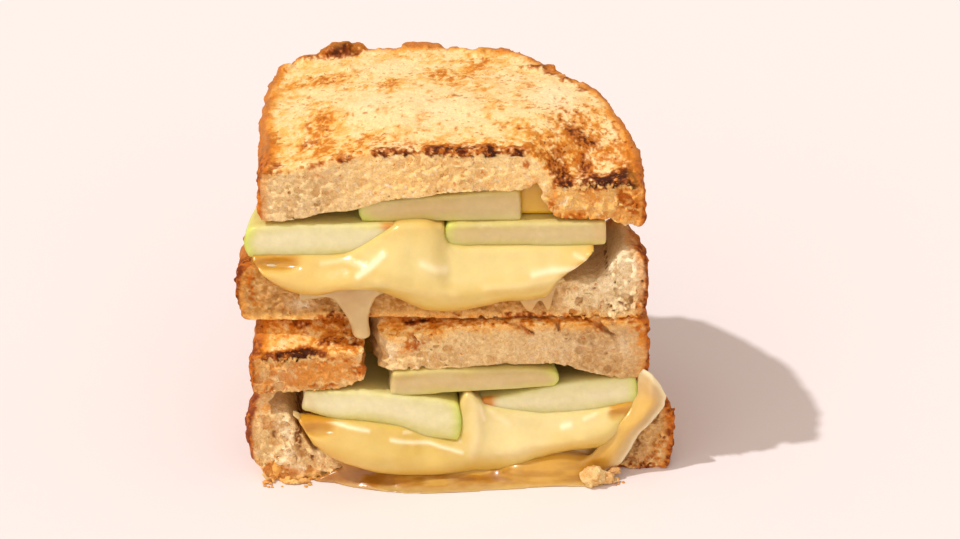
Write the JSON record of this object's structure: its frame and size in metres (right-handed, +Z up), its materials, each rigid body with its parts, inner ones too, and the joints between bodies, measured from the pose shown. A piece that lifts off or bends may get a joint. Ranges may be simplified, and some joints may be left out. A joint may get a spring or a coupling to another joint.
{
  "type": "grilled cheese sandwich",
  "caption": "Grilled cheese sandwich with green apple, cut across the middle and stacked with its cut faces to the front: toasted country bread, apple slabs and melted cheese that runs out.",
  "frame": {"origin": "middle of the bounding box's underside, on the surface the sandwich stands on", "axes": "+Z up; +X along the cut from left to right, seen from the cut side; -Y is the way the cut faces look"},
  "size_m": [0.1168, 0.0844, 0.0981],
  "materials": {
    "bread": "toasted bread, dry and matt, golden to dark brown on its faces and cream and open inside",
    "apple": "peeled-edge green apple flesh, moist, with pale green skin on its round side",
    "yellow_cheese": "melted yellow cheese, smooth and glossy, slightly see-through",
    "white_cheese": "melted white cheese, pale, smooth and glossy, slightly see-through"
  },
  "bodies": {
    "root": {"upper_top_bread": "bread", "upper_apple_middle": "apple", "upper_apple_left": "apple", "upper_apple_right": "apple", "upper_yellow_cheese": "yellow_cheese", "upper_white_cheese": "white_cheese", "upper_base_bread": "bread", "lower_top_bread": "bread", "lower_apple_middle": "apple", "lower_apple_left": "apple", "lower_apple_right": "apple", "lower_yellow_cheese": "yellow_cheese", "lower_white_cheese": "white_cheese", "lower_base_bread": "bread"}
  },
  "joints": []
}
